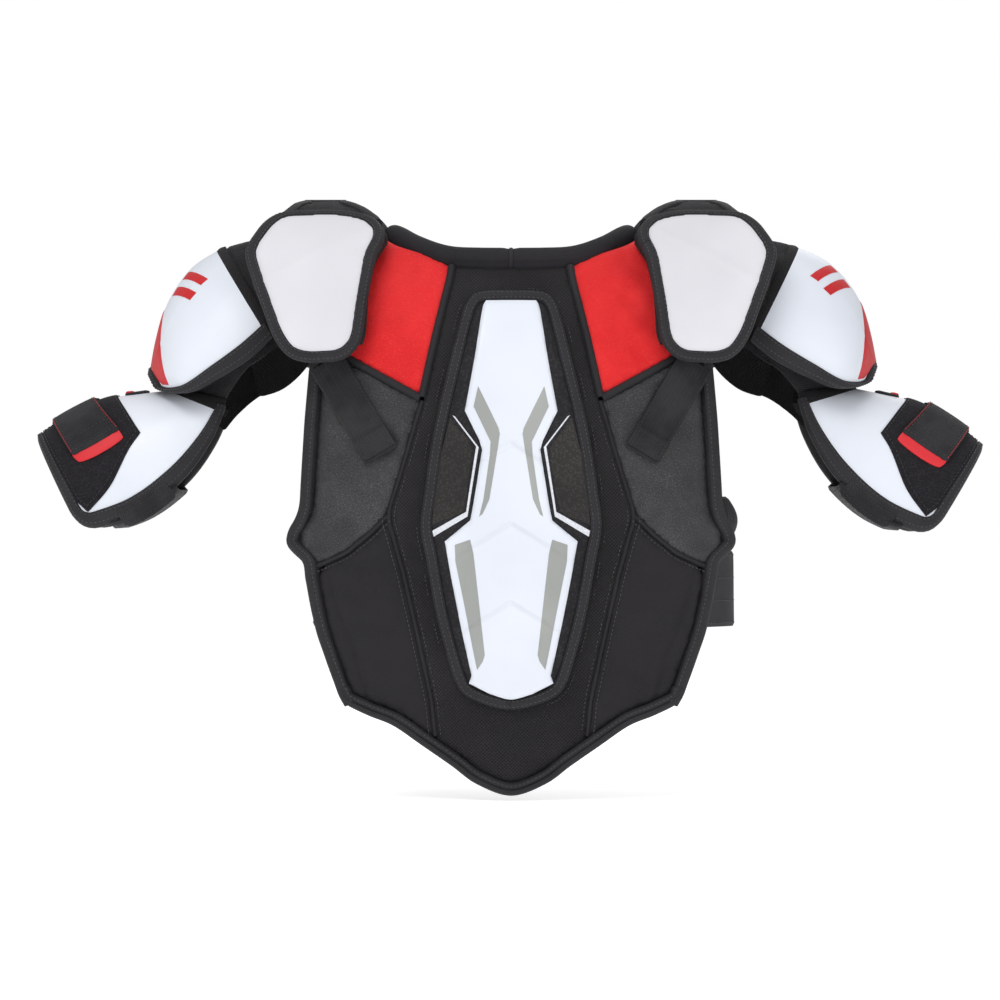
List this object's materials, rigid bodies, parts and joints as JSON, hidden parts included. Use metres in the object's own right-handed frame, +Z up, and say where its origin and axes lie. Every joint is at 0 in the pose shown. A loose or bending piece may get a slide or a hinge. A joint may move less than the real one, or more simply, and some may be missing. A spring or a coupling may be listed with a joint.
{
  "type": "hockey shoulder pads",
  "caption": "Padded torso vest for ice hockey with a rigid spine guard, hinged shoulder wings, shoulder cups and upper arm guards, worn over the chest and back.",
  "frame": {"origin": "Middle of the wearer's chest, midway between the side edges and level with the lower end of the shoulder webbing", "axes": "+Z up, -Y is the wearer's back (the side with the spine guard), +X is the wearer's right arm"},
  "size_m": [0.7393, 0.2451, 0.4604],
  "materials": {
    "black_mesh_fabric": "matte woven nylon over foam",
    "charcoal_satin_fabric": "satin speckled nylon over foam",
    "red_fabric": "fine red weave",
    "black_lining": "soft brushed lining",
    "black_loop_fabric": "fuzzy loop pile",
    "black_collar_fabric": "smooth knit over a foam roll",
    "charcoal_binding": "ribbed binding tape with stitch rows",
    "charcoal_webbing": "woven elastic webbing",
    "black_moulded_foam": "matte moulded foam",
    "white_plastic": "smooth moulded white with a soft sheen",
    "red_rubber": "moulded rubber with grip ribs"
  },
  "bodies": {
    "torso_vest": {"back_centre_panel": "black_mesh_fabric", "back_blade_panel_left": "charcoal_satin_fabric", "back_blade_panel_right": "charcoal_satin_fabric", "back_side_panel_left": "black_mesh_fabric", "back_side_panel_right": "black_mesh_fabric", "rear_yoke_left": "red_fabric", "rear_yoke_right": "red_fabric", "back_liner": "black_lining", "back_edge_binding": "charcoal_binding", "spine_guard_frame": "black_moulded_foam", "spine_guard_plate": "white_plastic", "spine_guard_binding": "charcoal_binding", "collar_left": "black_collar_fabric", "collar_right": "black_collar_fabric", "rear_webbing": "charcoal_webbing", "shoulder_bridge_left": "black_mesh_fabric", "shoulder_bridge_right": "black_mesh_fabric", "chest_panel": "black_mesh_fabric", "chest_liner": "black_lining", "chest_edge_binding": "charcoal_binding", "sternum_plate": "white_plastic", "chest_plates": "white_plastic", "chest_loop_patches": "black_loop_fabric", "side_elastics": "charcoal_webbing"},
    "shoulder_wing_left": {"wing_pad_left": "black_mesh_fabric", "wing_rear_plate_left": "white_plastic", "wing_front_plate_left": "white_plastic", "wing_binding_left": "charcoal_binding"},
    "shoulder_cup_left": {"cup_shell_left": "white_plastic", "cup_liner_left": "black_lining", "cup_binding_left": "charcoal_binding", "cup_top_fabric_left": "charcoal_satin_fabric", "arm_sleeve_left": "black_lining"},
    "upper_arm_guard_left": {"guard_shell_left": "white_plastic", "guard_liner_left": "black_lining", "guard_binding_left": "charcoal_binding", "guard_loop_panel_left": "black_loop_fabric", "arm_strap_left": "charcoal_webbing", "cup_link_strap_left": "charcoal_webbing"},
    "strap_end_left": {"strap_hook_tab_left": "charcoal_webbing", "strap_pull_tab_left": "red_rubber"},
    "belly_strap_body_left": {"belly_strap_left": "charcoal_webbing"},
    "shoulder_wing_right": {"wing_pad_right": "black_mesh_fabric", "wing_rear_plate_right": "white_plastic", "wing_front_plate_right": "white_plastic", "wing_binding_right": "charcoal_binding"},
    "shoulder_cup_right": {"cup_shell_right": "white_plastic", "cup_liner_right": "black_lining", "cup_binding_right": "charcoal_binding", "cup_top_fabric_right": "charcoal_satin_fabric", "arm_sleeve_right": "black_lining"},
    "upper_arm_guard_right": {"guard_shell_right": "white_plastic", "guard_liner_right": "black_lining", "guard_binding_right": "charcoal_binding", "guard_loop_panel_right": "black_loop_fabric", "arm_strap_right": "charcoal_webbing", "cup_link_strap_right": "charcoal_webbing"},
    "strap_end_right": {"strap_hook_tab_right": "charcoal_webbing", "strap_pull_tab_right": "red_rubber"},
    "belly_strap_body_right": {"belly_strap_right": "charcoal_webbing"}
  },
  "joints": [
    {"name": "shoulder_wing_hinge_left", "type": "hinge", "parent": "torso_vest", "child": "shoulder_wing_left", "pos_m": [-0.098, 0, 0.212], "axis": [0, 1, 0], "range_deg": [0, 35]},
    {"name": "shoulder_cup_hinge_left", "type": "hinge", "parent": "torso_vest", "child": "shoulder_cup_left", "pos_m": [-0.215, 0, 0.131], "axis": [0, 1, 0], "range_deg": [-20, 35]},
    {"name": "upper_arm_hinge_left", "type": "hinge", "parent": "shoulder_cup_left", "child": "upper_arm_guard_left", "pos_m": [-0.2484, 0, 0.09351], "axis": [0, 1, 0], "range_deg": [-15, 4]},
    {"name": "strap_end_peel_left", "type": "hinge", "parent": "upper_arm_guard_left", "child": "strap_end_left", "pos_m": [-0.3414, 0.003, 0.07128], "axis": [-0.8827, 0, -0.4699], "range_deg": [0, 75]},
    {"name": "belly_strap_hinge_left", "type": "hinge", "parent": "torso_vest", "child": "belly_strap_body_left", "pos_m": [-0.15451, -0.05918, -0.069], "axis": [-0.2663, 0.1772, 0.9475], "range_deg": [0, 60]},
    {"name": "shoulder_wing_hinge_right", "type": "hinge", "parent": "torso_vest", "child": "shoulder_wing_right", "pos_m": [0.098, 0, 0.212], "axis": [0, -1, 0], "range_deg": [0, 35]},
    {"name": "shoulder_cup_hinge_right", "type": "hinge", "parent": "torso_vest", "child": "shoulder_cup_right", "pos_m": [0.215, 0, 0.131], "axis": [0, -1, 0], "range_deg": [-20, 35]},
    {"name": "upper_arm_hinge_right", "type": "hinge", "parent": "shoulder_cup_right", "child": "upper_arm_guard_right", "pos_m": [0.25154, 0, 0.09656], "axis": [0, -1, 0], "range_deg": [-15, 4]},
    {"name": "strap_end_peel_right", "type": "hinge", "parent": "upper_arm_guard_right", "child": "strap_end_right", "pos_m": [0.34225, 0.003, 0.06631], "axis": [-0.8384, 0, 0.545], "range_deg": [0, 75]},
    {"name": "belly_strap_hinge_right", "type": "hinge", "parent": "torso_vest", "child": "belly_strap_body_right", "pos_m": [0.15451, -0.05918, -0.069], "axis": [-0.2663, -0.1772, -0.9475], "range_deg": [0, 60]}
  ]
}
